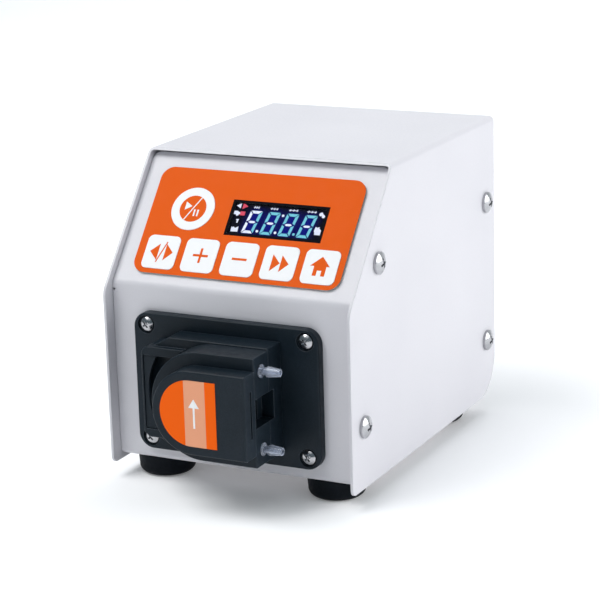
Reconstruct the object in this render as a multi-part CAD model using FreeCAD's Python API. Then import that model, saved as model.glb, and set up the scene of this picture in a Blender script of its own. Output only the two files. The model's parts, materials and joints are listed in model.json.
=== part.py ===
import FreeCAD, Part
import math
import os

V = FreeCAD.Vector

# Compact bench peristaltic pump, in millimetres.
# Everything is drawn in the case frame: X to the right seen from the front, Y into the depth from the
# side walls' front edge, Z up from the side walls' lower edge. keep() moves it to the row frame.

# ---- case ----
CASE_W = 120.0
CASE_D = 164.5
CASE_H = 136.0
FOOT_DROP = 7.2              # side walls' lower edge above the bench
HEAD_FRONT = -32.0           # frontmost point, the cassette label
REAR_MOST = 168.0            # rearmost point, the jack posts
ROW_SHIFT = V(0, -(HEAD_FRONT + REAR_MOST) / 2, FOOT_DROP)

COVER_T = 1.2
COVER_BEND_R = 2.5
SLOPE_Y = 46.65              # setback of the top's front edge
BEND_Z = 80.08               # height where the side edge starts to slope
WALL_FRONT_R = 3.0
WALL_BEND_R = 9.0
WALL_REAR_R = 20.0

SHEET_T = 1.5                # chassis and rear panel
PANEL_Y = 6.4                # lower front panel's outer face
PANEL_HALF_W = 58.7
BASE_HALF_W = 56.2
BASE_Z = 2.5                 # underside of the base
BASE_END_Y = 146.0
PANEL_INSET = 3.0            # sloped panel below the side walls' sloping edge
PANEL_TOP_V = 72.35          # sloped panel's top edge, along the slope
PANEL_CORNER_R = 4.0

REAR_Y = 163.0               # rear panel's outer face
REAR_BEND_R = 17.0
REAR_TOP_Z = 134.0

SCREW_R = 2.5                # M5 cover screws
SCREW_HEAD_R = 4.95
SCREW_HEAD_H = 3.0
SCREW_LEN = 10.0
COVER_SCREWS = [(12.6, 28.0), (29.8, 96.2), (153.9, 96.2), (153.9, 28.0)]

# ---- feet ----
FOOT_X = 42.7
FOOT_YS = {"front": 20.4, "rear": 132.0}
FOOT_TOP_R = 13.3
FOOT_R = 12.8
FOOT_EDGE_R = 3.6
FOOT_SCREW_LEN = 12.0

# ---- keypad, along the sloped panel: x across, v up the slope, n outward ----
SLOPE_RUN = CASE_H - BEND_Z
SLOPE_ANGLE = math.degrees(math.atan2(SLOPE_RUN, SLOPE_Y))
SLOPE_COS = math.cos(math.radians(SLOPE_ANGLE))
SLOPE_SIN = math.sin(math.radians(SLOPE_ANGLE))
SLOPE_ORIGIN = V(0, PANEL_INSET * SLOPE_SIN, BEND_Z - PANEL_INSET * SLOPE_COS)

OVERLAY_W = 101.0
OVERLAY_V0 = 11.8
OVERLAY_V1 = 64.5
OVERLAY_R = 6.0
CIRCUIT_T = 0.2
SPACER_TOP = 0.9
OVERLAY_TOP = 1.15
KEY_BOTTOM = 0.7
KEY_TOP = 1.35
KEY_TRAVEL = 0.25
KEY_GAP = 0.12
KEY_LIP = 0.8
DOME_R = 5.0
DOME_H = 0.22
KEY_SIZE = 16.2
KEY_R = 2.6
KEY_V = 22.1
KEY_PITCH = 19.5
KEY_MIDDLE = 0.55            # middle key
KEY_ROW = ["key_direction", "key_plus", "key_minus", "key_fast", "key_home"]
KEY_XS = {name: KEY_MIDDLE + (i - 2) * KEY_PITCH for i, name in enumerate(KEY_ROW)}
START_X = -29.5
START_V = 44.4
START_R = 10.5

WINDOW_X = 12.7
WINDOW_V = 41.95
WINDOW_W = 47.1
WINDOW_H = 17.5
DIGIT_X0 = 0.4               # middle of the first digit
DIGIT_PITCH = 8.9
DIGIT_V = 41.0
DIGIT_W = 5.7
DIGIT_H = 11.0
DIGIT_SLANT = 0.185
SEG_W = 1.25
SEG_GAP = 0.3
SEG_T = 0.12
MODULE_BACK = -9.5           # display module's rear face, along the panel's normal

# ---- pump head ----
AXIS_Z = 40.2                # rotor and motor axis, at x = 0
PLATE_X = -1.0               # plate's middle
PLATE_W = 90.4
PLATE_H = 62.8
PLATE_Y = 2.2                # plate's front face
PLATE_R = 7.0
PLATE_SCREW_X = 38.9
PLATE_SCREW_Z = 26.0
PLATE_SCREW_HEAD_R = 3.3

BLOCK_Y = -9.3               # head block's front face
BLOCK_RIGHT = 26.0
BLOCK_LEFT = -30.7
BLOCK_HALF_H = 24.9
BLOCK_CHAMFER_X = -22.3
BLOCK_CHAMFER_Z = 20.2
WING_LEFT = -34.9
WING_Y = -12.0
WING_HALF_H = 20.6
WING_WALL = 3.8
WING_RIM = 1.0

CASS_R = 24.2                # cassette body, a D shape round the rotor axis
CASS_Y = -22.6
CAP_R = 18.6                 # cassette front cover
CAP_Y = -31.8
CAP_RIGHT = 26.1
LABEL_R = 14.6
LABEL_RIGHT = 12.4
BAND_X = (-2.7, 7.4)

ORBIT_R = 17.6               # outermost reach of the rollers
ROLLER_R = 4.6
ROLLER_N = 3
ROLLER_FIRST = 60.0
TRACK_R = 20.6
TUBE_R = 3.2
TUBE_BORE_R = 1.6
TUBE_Y = -16.4
TUBE_LEG = 17.33             # legs' offset from the rotor axis
TUBE_ROUND_X = 12.5          # where the legs are round again
BARB_R = 2.35                # connectors' barb and the short land behind its taper
BARB_X = 29.5
BARB_LAND = 0.9
FLAT_W = 9.0                 # width of the pressed tube
RUN = 0.03                   # radial clearance of the running fits

HUB_R = 16.4                 # rotor side plates
HUB_Y = (-23.9, -9.5)
ROLLER_Y = -21.2
ROLLER_LEN = 9.6
PIN_R = 1.5
SHAFT_R = 2.5
BEARING_R = 8.0
BEARING_LEN = 5.0
HEAD_BEARING_Y = -6.3
BUSH_R = 5.0
BUSH_Y = (-29.4, -25.4)
HUB_PIN_R = 3.0              # hub's front journal in the cassette bushing
CASS_SCREWS = [(18.4, AXIS_Z + 10.6), (18.4, AXIS_Z - 10.6)]
SIDE_WINDOW_Z = (AXIS_Z - 6.9, AXIS_Z + 6.1)

LATCH_X = -32.5              # thumb latch's pin
LATCH_Y = -10.2
LATCH_CENTRE = (-24.2, -12.0)
LATCH_R = 8.0
LATCH_T = 1.5
LATCH_KNUCKLE_R = 1.15
LATCH_PIN_R = 0.6
LATCH_ARC_R = 32.0           # latch's front lip ends on this arc round the rotor axis

# ---- drive ----
MOTOR_Y = PANEL_Y + SHEET_T
MOTOR_HALF = 21.15
MOTOR_CUT = 5.5              # stator's corner chamfers
MOTOR_SCREW = 15.5           # half the screw spacing
FLANGE_LEN = 8.0
STATOR_LEN = 28.0
BELL_LEN = 10.0
PILOT_R = 11.0

# ---- electronics and rear ----
BOARD_Z = 12.5
BOARD_T = 1.6
BOARD_HOLES = [(-44, 70), (44, 70), (-44, 118), (44, 118)]
CHIPS = [(-12, 2, 96, 110, 1.4), (10, 18, 84, 90, 1.6), (-30, -22, 88, 93, 1.6),
         (24, 30, 100, 113, 1.6), (-8, -3, 80, 84, 1.2), (6, 12, 116, 122, 2.5)]
CAPACITORS = [(-34, 104), (-34, 119), (-20, 119)]
TERMINAL_XS = (-38, -14, 10)
FIN_N = 7
FIN_PITCH = 5.3
CAPACITOR_R = 6.2
CAPACITOR_H = 24.0
SWITCH_X = 34.0
SWITCH_Z = 100.0
ROCKER_TILT = 8.0
ROCKER_DEPTH = 1.5
JACK_X = 34.0
JACK_Z = 72.0
CONN_X = -18.0
CONN_Z = 88.0
POST_X = 12.5                # half the spacing of the jack posts
VENT_N = 9
VENT_PITCH = 7.0

M3_HOLE_R = 1.6
PLATE_HOLE_R = 1.85
FOOT_HOLE_R = 2.15
CORNERS = [(-1, -1), (-1, 1), (1, -1), (1, 1)]


# ---- helpers ----
def box(x0, x1, y0, y1, z0, z1):
    return Part.makeBox(x1 - x0, y1 - y0, z1 - z0, V(x0, y0, z0))


def rod(r, p, d, length):
    return Part.makeCylinder(r, length, V(*p), V(*d))


def cone(r0, r1, p, d, length):
    return Part.makeCone(r0, r1, length, V(*p), V(*d))


def tube(r_out, r_in, p, d, length):
    return rod(r_out, p, d, length).cut(rod(r_in, p, d, length))


def rounded_face(points, radii):
    """Face inside a polygon of coplanar points, each corner rounded by its own radius."""
    if not isinstance(radii, (list, tuple)):
        radii = [radii] * len(points)
    edges = []
    spans = []
    count = len(points)
    for i, p in enumerate(points):
        if radii[i] <= 0:
            spans.append((p, p))
            continue
        a = (points[i - 1] - p).normalize()
        b = (points[(i + 1) % count] - p).normalize()
        half = a.getAngle(b) / 2
        reach = radii[i] / math.tan(half)
        centre = p + (a + b).normalize() * (radii[i] / math.sin(half))
        start = p + a * reach
        end = p + b * reach
        middle = centre + (p - centre).normalize() * radii[i]
        edges.append(Part.Arc(start, middle, end).toShape())
        spans.append((start, end))
    for i in range(count):
        start = spans[i][1]
        end = spans[(i + 1) % count][0]
        if start.distanceToPoint(end) > 1e-6:
            edges.append(Part.LineSegment(start, end).toShape())
    return Part.Face(Part.Wire(Part.__sortEdges__(edges)))


def prism_xz(points, radii, y0, y1):
    return rounded_face([V(x, y0, z) for x, z in points], radii).extrude(V(0, y1 - y0, 0))


def prism_yz(points, radii, x0, x1):
    return rounded_face([V(x0, y, z) for y, z in points], radii).extrude(V(x1 - x0, 0, 0))


def prism_xy(points, radii, z0, z1):
    return rounded_face([V(x, y, z0) for x, y in points], radii).extrude(V(0, 0, z1 - z0))


def rect(x0, x1, v0, v1):
    return [(x0, v0), (x1, v0), (x1, v1), (x0, v1)]


def mirror_x(shape):
    return shape.mirror(V(0, 0, 0), V(1, 0, 0))


def aim(shape, p, d):
    """Turn a shape drawn along +Z so that it points along d, with its origin at p."""
    out = shape.copy()
    out.Placement = FreeCAD.Placement(V(*p), FreeCAD.Rotation(V(0, 0, 1), V(*d)))
    return out


def on_slope(shape):
    """Carry a shape drawn in (x, v, n) onto the sloped panel."""
    out = shape.copy()
    turn = FreeCAD.Rotation(V(1, 0, 0), SLOPE_ANGLE)
    out.Placement = FreeCAD.Placement(SLOPE_ORIGIN, turn)
    return out


def fillet_front(shape, y, r):
    """Round every edge lying in the plane of constant y."""
    edges = [e for e in shape.Edges if all(abs(q.y - y) < 1e-4 for q in e.discretize(5))]
    return shape.makeFillet(r, edges)


def d_shape(r, right, y0, y1):
    """D outline round the rotor axis: half circle on the left, square on the right."""
    disc = axis_rod(r, y0, y1).common(box(-r, 0, y0, y1, AXIS_Z - r, AXIS_Z + r))
    return disc.fuse(box(0, right, y0, y1, AXIS_Z - r, AXIS_Z + r)).removeSplitter()


def axis_rod(r, y0, y1):
    """Cylinder on the rotor axis."""
    return rod(r, (0, y0, AXIS_Z), (0, 1, 0), y1 - y0)


def cross_recess(width, span, depth):
    """Cross-recess cutter below z = 0."""
    arms = box(-span / 2, span / 2, -width / 2, width / 2, -depth, 0.5)
    arms = arms.fuse(box(-width / 2, width / 2, -span / 2, span / 2, -depth, 0.5))
    core = cone(0.2, span * 0.36, (0, 0, -depth * 1.25), (0, 0, 1), depth * 1.25 + 0.5)
    taper = cone(span * 0.2, span * 0.56, (0, 0, -depth), (0, 0, 1), depth + 0.5)
    middle = arms.fuse(rod(width * 0.7, (0, 0, -depth * 1.3), (0, 0, 1), 9))
    return arms.common(taper).fuse(core.common(middle))


def pan_screw(head_r, head_h, shank_r, shank_len, turn):
    """Cross-recessed pan-head screw along Z, head on +Z, underside of the head at z = 0."""
    rim = head_h * 0.42
    dome_r = (head_r ** 2 + (head_h - rim) ** 2) / (2 * (head_h - rim))
    ball = Part.makeSphere(dome_r, V(0, 0, head_h - dome_r))
    head = rod(head_r, (0, 0, 0), (0, 0, 1), head_h).common(ball)
    recess = cross_recess(head_r * 0.24, head_r * 1.16, head_h * 0.62)
    recess.rotate(V(0, 0, 0), V(0, 0, 1), turn)
    recess.translate(V(0, 0, head_h))
    tip = shank_r * 0.3
    shank = rod(shank_r, (0, 0, -shank_len + tip), (0, 0, 1), shank_len - tip)
    shank = shank.fuse(cone(shank_r - tip, shank_r, (0, 0, -shank_len), (0, 0, 1), tip))
    return head.cut(recess).fuse(shank).removeSplitter()


def hex_prism(flats, p, d, length):
    r = flats / math.sqrt(3)
    points = [V(r * math.cos(math.radians(60 * i)), r * math.sin(math.radians(60 * i)), 0) for i in range(6)]
    return aim(Part.Face(Part.makePolygon(points + points[:1])).extrude(V(0, 0, length)), p, d)


def wire_run(points, r):
    """Round wire along a polyline, with a ball at each bend."""
    pts = [V(*p) for p in points]
    out = None
    for a, b in zip(pts, pts[1:]):
        piece = Part.makeCylinder(r, a.distanceToPoint(b), a, b - a)
        out = piece if out is None else out.fuse(piece)
    for p in pts[1:-1]:
        out = out.fuse(Part.makeSphere(r, p))
    return out.removeSplitter()


NODES = {}


def keep(name, shape):
    """Store a node's solids, moved to the row frame."""
    moved = shape.copy()
    moved.translate(ROW_SHIFT)
    NODES[name] = moved.Solids[0] if len(moved.Solids) == 1 else Part.makeCompound(moved.Solids)


def group(shapes):
    return Part.makeCompound([s for shape in shapes for s in shape.Solids])


def motor_corner(sx, sz, y):
    return (sx * MOTOR_SCREW, y, AXIS_Z + sz * MOTOR_SCREW)


def plate_corner(sx, sz, y):
    return (PLATE_X + sx * PLATE_SCREW_X, y, AXIS_Z + sz * PLATE_SCREW_Z)


# ---- case ----
def cover():
    half = CASE_W / 2
    inner = half - COVER_T
    top = CASE_H - COVER_T
    outer = prism_xz([(-half, 0), (-half, CASE_H), (half, CASE_H), (half, 0)],
                     [0, COVER_BEND_R, COVER_BEND_R, 0], 0, CASE_D)
    hollow = prism_xz([(-inner, -1), (-inner, top), (inner, top), (inner, -1)],
                      [0, COVER_BEND_R - COVER_T, COVER_BEND_R - COVER_T, 0], -1, CASE_D + 1)
    above = 5.0
    side = prism_yz([(0, 0), (0, BEND_Z), (SLOPE_Y + above * SLOPE_Y / SLOPE_RUN, CASE_H + above),
                     (CASE_D, CASE_H + above), (CASE_D, 0)],
                    [WALL_FRONT_R, WALL_BEND_R, 0, 0, WALL_REAR_R], -half - 1, half + 1)
    shell = outer.cut(hollow).common(side)
    holes = [rod(SCREW_R + 0.25, (-half - 1, y, z), (1, 0, 0), CASE_W + 2) for y, z in COVER_SCREWS]
    return shell.cut(holes)


def chassis():
    z_bend = SLOPE_ORIGIN.z + (PANEL_Y - SLOPE_ORIGIN.y) / SLOPE_COS * SLOPE_SIN
    inner_y = PANEL_Y + SHEET_T
    inner_z = SLOPE_ORIGIN.z - SHEET_T * SLOPE_COS
    inner_z += (inner_y - SLOPE_ORIGIN.y - SHEET_T * SLOPE_SIN) / SLOPE_COS * SLOPE_SIN
    top_y = SLOPE_ORIGIN.y + PANEL_TOP_V * SLOPE_COS
    top_z = SLOPE_ORIGIN.z + PANEL_TOP_V * SLOPE_SIN
    top_in_y = top_y + SHEET_T * SLOPE_SIN
    top_in_z = top_z - SHEET_T * SLOPE_COS
    sheet = prism_yz([(BASE_END_Y, BASE_Z), (PANEL_Y, BASE_Z), (PANEL_Y, z_bend), (top_y, top_z),
                      (top_in_y, top_in_z), (inner_y, inner_z), (inner_y, BASE_Z + SHEET_T),
                      (BASE_END_Y, BASE_Z + SHEET_T)],
                     [0, 2.5, 4.0, 0, 0, 2.5, 1.0, 0], -PANEL_HALF_W, PANEL_HALF_W)
    tools = []
    strip = PANEL_HALF_W - BASE_HALF_W
    low_flange = prism_yz([(inner_y, 12), (22.4, 12), (22.4, 74), (inner_y, 74)], [0, 3, 3, 0],
                          PANEL_HALF_W - SHEET_T, PANEL_HALF_W)
    slope_flange = Part.makeBox(SHEET_T, 52, 17.5, V(PANEL_HALF_W - SHEET_T, 14, -SHEET_T - 17.5))
    slope_flange = on_slope(slope_flange)
    flanges = low_flange.fuse(slope_flange)
    sheet = sheet.fuse([flanges, mirror_x(flanges)]).removeSplitter()
    for side in (-1, 1):
        edge = side * PANEL_HALF_W
        x0, x1 = sorted((edge - side * strip, edge + side))
        tools.append(box(x0, x1, inner_y - 0.01, BASE_END_Y + 1, BASE_Z - 1, 10))
        corner = box(x0, x1, PANEL_Y - 1, inner_y + 0.01, BASE_Z - 1, BASE_Z + strip)
        rounder = rod(strip, (edge - side * strip, PANEL_Y - 2, BASE_Z + strip), (0, 1, 0), 6)
        tools.append(corner.cut(rounder))
        x0, x1 = sorted((edge - side * 1.3, edge + side))
        tools.append(prism_xz(rect(x0, x1, z_bend - 3.9, z_bend - 2.9), 0.3, PANEL_Y - 2, inner_y + 4))
        wedge = Part.makeBox(PANEL_CORNER_R + 1, PANEL_CORNER_R + 1, 4,
                             V(min(edge, edge + side) - (PANEL_CORNER_R if side > 0 else 0),
                               PANEL_TOP_V - PANEL_CORNER_R, -3))
        arc = rod(PANEL_CORNER_R, (edge - side * PANEL_CORNER_R, PANEL_TOP_V - PANEL_CORNER_R, -4),
                  (0, 0, 1), 8)
        tools.append(on_slope(wedge.cut(arc)))
        for y, z in COVER_SCREWS[:2]:
            tools.append(rod(SCREW_R + 0.05, (side * 50, y, z), (side, 0, 0), 12))
    # openings for the head: pilot, motor screws, plate screws
    tools.append(axis_rod(PILOT_R + 0.2, PANEL_Y - 1, inner_y + 1))
    for sx, sz in CORNERS:
        tools.append(rod(M3_HOLE_R + 0.1, motor_corner(sx, sz, PANEL_Y - 1), (0, 1, 0), 4))
        tools.append(rod(PLATE_HOLE_R, plate_corner(sx, sz, PANEL_Y - 1), (0, 1, 0), 4))
    # display cut-out in the sloped panel, feet and rear-panel holes in the base
    tools.append(on_slope(Part.makeBox(45.6, 16.0, 6, V(WINDOW_X - 22.8, WINDOW_V - 8.0, -4))))
    for y in FOOT_YS.values():
        for sx in (-1, 1):
            tools.append(rod(FOOT_HOLE_R, (sx * FOOT_X, y, 0), (0, 0, 1), 8))
    return sheet.cut(tools)


def rear_panel():
    low = BASE_Z + SHEET_T
    sheet = prism_yz([(112, low), (REAR_Y, low), (REAR_Y, REAR_TOP_Z), (150, REAR_TOP_Z),
                      (150, REAR_TOP_Z - SHEET_T), (REAR_Y - SHEET_T, REAR_TOP_Z - SHEET_T),
                      (REAR_Y - SHEET_T, low + SHEET_T), (112, low + SHEET_T)],
                     [0, REAR_BEND_R, 2.5, 0, 0, 1.0, REAR_BEND_R - SHEET_T, 0],
                     -PANEL_HALF_W, PANEL_HALF_W)
    flange = prism_yz([(145, 24), (REAR_Y - SHEET_T, 24), (REAR_Y - SHEET_T, 108), (145, 108)],
                      [3, 0, 0, 3], PANEL_HALF_W - SHEET_T, PANEL_HALF_W)
    sheet = sheet.fuse([flange, mirror_x(flange)]).removeSplitter()
    tools = []
    for side in (-1, 1):
        x0, x1 = sorted((side * BASE_HALF_W, side * (PANEL_HALF_W + 1)))
        tools.append(box(x0, x1, 110, REAR_Y + 1, low - 1, 22))
        x0, x1 = sorted((side * 52.0, side * (PANEL_HALF_W + 1)))
        tools.append(box(x0, x1, 140, REAR_Y - SHEET_T, 120, REAR_TOP_Z + 1))
        for y, z in COVER_SCREWS[2:]:
            tools.append(rod(SCREW_R + 0.05, (side * 50, y, z), (side, 0, 0), 12))
        tools.append(rod(FOOT_HOLE_R, (side * FOOT_X, FOOT_YS["rear"], 0), (0, 0, 1), 8))
    # switch, jack and control connector
    low, high = SWITCH_Z - 9.6, SWITCH_Z + 9.6
    tools.append(box(SWITCH_X - 6.55, SWITCH_X + 6.55, REAR_Y - 5, REAR_Y + 1, low, high))
    tools.append(rod(4.1, (JACK_X, REAR_Y - 5, JACK_Z), (0, 1, 0), 6))
    tools.append(prism_xz(connector_outline(0.15), 1.0, REAR_Y - 5, REAR_Y + 1))
    for side in (-1, 1):
        tools.append(rod(M3_HOLE_R, (CONN_X + side * POST_X, REAR_Y - 5, CONN_Z), (0, 1, 0), 6))
    # vents
    for i in range(VENT_N):
        x = (i - (VENT_N - 1) / 2) * VENT_PITCH
        tools.append(prism_xz(rect(x - 1.5, x + 1.5, 30, 56), 1.45, REAR_Y - 5, REAR_Y + 1))
    return sheet.cut(tools)


def cover_fasteners():
    screw = pan_screw(SCREW_HEAD_R, SCREW_HEAD_H, SCREW_R, SCREW_LEN, 20)
    screws = []
    nuts = []
    for side in (-1, 1):
        for y, z in COVER_SCREWS:
            screws.append(aim(screw, (side * CASE_W / 2, y, z), (side, 0, 0)))
            face = side * (PANEL_HALF_W - SHEET_T)
            nuts.append(tube(4.2, SCREW_R + 0.05, (face, y, z), (-side, 0, 0), 4.0))
    keep("cover_screws", group(screws))
    return nuts


# ---- feet ----
def feet():
    arc_mid = FOOT_EDGE_R * (1 - math.sqrt(0.5))
    low = -FOOT_DROP
    profile = [
        Part.LineSegment(V(2.1, 0, BASE_Z), V(FOOT_TOP_R, 0, BASE_Z)).toShape(),
        Part.LineSegment(V(FOOT_TOP_R, 0, BASE_Z), V(FOOT_R, 0, low + FOOT_EDGE_R)).toShape(),
        Part.Arc(V(FOOT_R, 0, low + FOOT_EDGE_R), V(FOOT_R - arc_mid, 0, low + arc_mid),
                 V(FOOT_R - FOOT_EDGE_R, 0, low)).toShape(),
        Part.LineSegment(V(FOOT_R - FOOT_EDGE_R, 0, low), V(5.0, 0, low)).toShape(),
        Part.LineSegment(V(5.0, 0, low), V(5.0, 0, low + 5.5)).toShape(),
        Part.LineSegment(V(5.0, 0, low + 5.5), V(2.1, 0, low + 5.5)).toShape(),
        Part.LineSegment(V(2.1, 0, low + 5.5), V(2.1, 0, BASE_Z)).toShape(),
    ]
    foot = Part.Face(Part.Wire(profile)).revolve(V(0, 0, 0), V(0, 0, 1), 360)
    screw = pan_screw(3.9, 3.0, 2.0, FOOT_SCREW_LEN, 0)
    feet_out = []
    screws = []
    nuts = []
    for end, y in FOOT_YS.items():
        for side in (-1, 1):
            one = foot.copy()
            one.translate(V(side * FOOT_X, y, 0))
            feet_out.append(one)
            screws.append(aim(screw, (side * FOOT_X, y, low + 5.5), (0, 0, -1)))
            seat = BASE_Z + SHEET_T + (SHEET_T if end == "rear" else 0)
            nut = hex_prism(7.0, (side * FOOT_X, y, seat), (0, 0, 1), 3.2)
            nuts.append(nut.cut(rod(2.03, (side * FOOT_X, y, seat - 1), (0, 0, 1), 6)))
    keep("feet", group(feet_out))
    keep("foot_screws", group(screws))
    return nuts


# ---- keypad ----
def window_rect(half_w, half_h):
    return rect(WINDOW_X - half_w, WINDOW_X + half_w, WINDOW_V - half_h, WINDOW_V + half_h)


def key_rect(x, grow):
    half = KEY_SIZE / 2 + grow
    return rect(x - half, x + half, KEY_V - half, KEY_V + half)


def keypad():
    half = OVERLAY_W / 2
    outline = rect(-half, half, OVERLAY_V0, OVERLAY_V1)
    window = window_rect(WINDOW_W / 2, WINDOW_H / 2)
    rim = window_rect(22.5, 7.8)
    circuit = prism_xy(outline, OVERLAY_R, 0, CIRCUIT_T).cut(prism_xy(rim, 0.5, -1, 1))
    spacer = prism_xy(outline, OVERLAY_R, CIRCUIT_T, SPACER_TOP).cut(prism_xy(window, 0, -1, 2))
    overlay = prism_xy(outline, OVERLAY_R, SPACER_TOP, OVERLAY_TOP).cut(prism_xy(window, 0, -1, 2))
    domes = []
    centres = [(x, KEY_V) for x in KEY_XS.values()] + [(START_X, START_V)]
    for x, v in centres:
        domes.append(cone(DOME_R, DOME_R * 0.5, (x, v, CIRCUIT_T), (0, 0, 1), DOME_H))
    for name, x in KEY_XS.items():
        lip = prism_xy(key_rect(x, KEY_LIP), KEY_R + KEY_LIP, KEY_BOTTOM, SPACER_TOP)
        cap = prism_xy(key_rect(x, 0), KEY_R, SPACER_TOP, KEY_TOP)
        overlay = overlay.cut(prism_xy(key_rect(x, KEY_GAP), KEY_R + KEY_GAP, 0, 3))
        spacer = spacer.cut(prism_xy(key_rect(x, KEY_LIP + KEY_GAP), KEY_R + KEY_LIP + KEY_GAP, 0, 3))
        keep(name, on_slope(lip.fuse(cap).removeSplitter()))
    lip = rod(START_R + KEY_LIP, (START_X, START_V, KEY_BOTTOM), (0, 0, 1), SPACER_TOP - KEY_BOTTOM)
    cap = rod(START_R, (START_X, START_V, SPACER_TOP), (0, 0, 1), KEY_TOP - SPACER_TOP)
    overlay = overlay.cut(rod(START_R + KEY_GAP, (START_X, START_V, 0), (0, 0, 1), 3))
    spacer = spacer.cut(rod(START_R + KEY_LIP + KEY_GAP, (START_X, START_V, 0), (0, 0, 1), 3))
    keep("key_start", on_slope(lip.fuse(cap).removeSplitter()))
    keep("keypad_circuit", on_slope(circuit))
    keep("keypad_spacer", on_slope(spacer))
    keep("keypad_overlay", on_slope(overlay))
    keep("snap_domes", group([on_slope(d) for d in domes]))


def digit_segments(x):
    """Seven slanted bars of one digit with a gap at every corner."""
    w = DIGIT_W / 2
    h = DIGIT_H / 2
    end = w - SEG_GAP
    mid = w - 0.9 * SEG_W
    low = SEG_GAP * 0.8
    top = [(-end, h), (end, h), (end - SEG_W, h - SEG_W), (SEG_W - end, h - SEG_W)]
    side = [(w, low), (w, h - SEG_GAP), (w - SEG_W, h - SEG_GAP - SEG_W), (w - SEG_W, low + SEG_W / 2)]
    lens = [(-mid, 0), (0.8 - mid, 0.5), (mid - 0.8, 0.5), (mid, 0), (mid - 0.8, -0.5), (0.8 - mid, -0.5)]
    faces = [lens]
    faces += [[(px, pv * k) for px, pv in top] for k in (1, -1)]
    faces += [[(px * j, pv * k) for px, pv in side] for j in (1, -1) for k in (1, -1)]
    bars = []
    for pts in faces:
        face = [(x + px + DIGIT_SLANT * pv, DIGIT_V + pv) for px, pv in pts]
        bars.append(prism_xy(face, 0, 0, SEG_T))
    return bars


def display():
    """Window, module and digits; returns the display board's standoffs."""
    window = window_rect(WINDOW_W / 2 - 0.08, WINDOW_H / 2 - 0.08)
    keep("display_window", on_slope(prism_xy(window, 0, CIRCUIT_T, OVERLAY_TOP)))
    module = prism_xy(window_rect(27, 12), 0.8, MODULE_BACK, -SHEET_T)
    glass = prism_xy(window_rect(22.3, 7.6), 0.3, -SHEET_T, -0.1)
    module = module.fuse(glass).removeSplitter()
    keep("display_module", on_slope(module))
    lit = []
    for i in range(4):
        bars = digit_segments(DIGIT_X0 + i * DIGIT_PITCH)
        lit += bars
        if i < 3:
            x = DIGIT_X0 + (i + 0.5) * DIGIT_PITCH + DIGIT_SLANT * -DIGIT_H / 2 + 0.3
            lit.append(rod(0.6, (x, DIGIT_V - DIGIT_H / 2 + 1.3, 0), (0, 0, 1), SEG_T))
    for shape in lit:
        shape.translate(V(0, 0, -0.1))
    keep("display_segments", group([on_slope(s) for s in lit]))
    board = prism_xy(window_rect(32, 17), 1.5, MODULE_BACK - BOARD_T, MODULE_BACK)
    posts = []
    for sx, sv in CORNERS:
        x = WINDOW_X + sx * 29
        v = WINDOW_V + sv * 14.5
        board = board.cut(rod(1.25, (x, v, -20), (0, 0, 1), 30))
        post = rod(2.4, (x, v, MODULE_BACK), (0, 0, 1), -MODULE_BACK - SHEET_T)
        posts.append(on_slope(post.fuse(rod(1.2, (x, v, MODULE_BACK - 3.1), (0, 0, 1), 4))))
    keep("display_board", on_slope(board))
    return posts


# ---- pump head, fixed ----
def head_plate():
    half = PLATE_W / 2
    outline = rect(PLATE_X - half, PLATE_X + half, AXIS_Z - PLATE_H / 2, AXIS_Z + PLATE_H / 2)
    plate = prism_xz(outline, PLATE_R, PLATE_Y, PANEL_Y)
    plate = fillet_front(plate, PLATE_Y, 0.7)
    tools = [axis_rod(PILOT_R + 0.2, PANEL_Y - 1.0, PANEL_Y + 1), axis_rod(7.0, PLATE_Y - 1, PANEL_Y + 1)]
    for sx, sz in CORNERS:
        place = plate_corner(sx, sz, PLATE_Y - 1)
        tools.append(rod(PLATE_SCREW_HEAD_R + 0.85, place, (0, 1, 0), 2.4))
        tools.append(rod(PLATE_HOLE_R, place, (0, 1, 0), 9))
        place = motor_corner(sx, sz, PLATE_Y - 1)
        tools.append(rod(3.1, place, (0, 1, 0), 4.0))
        tools.append(rod(M3_HOLE_R + 0.05, place, (0, 1, 0), 9))
    return plate.cut(tools)


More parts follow.
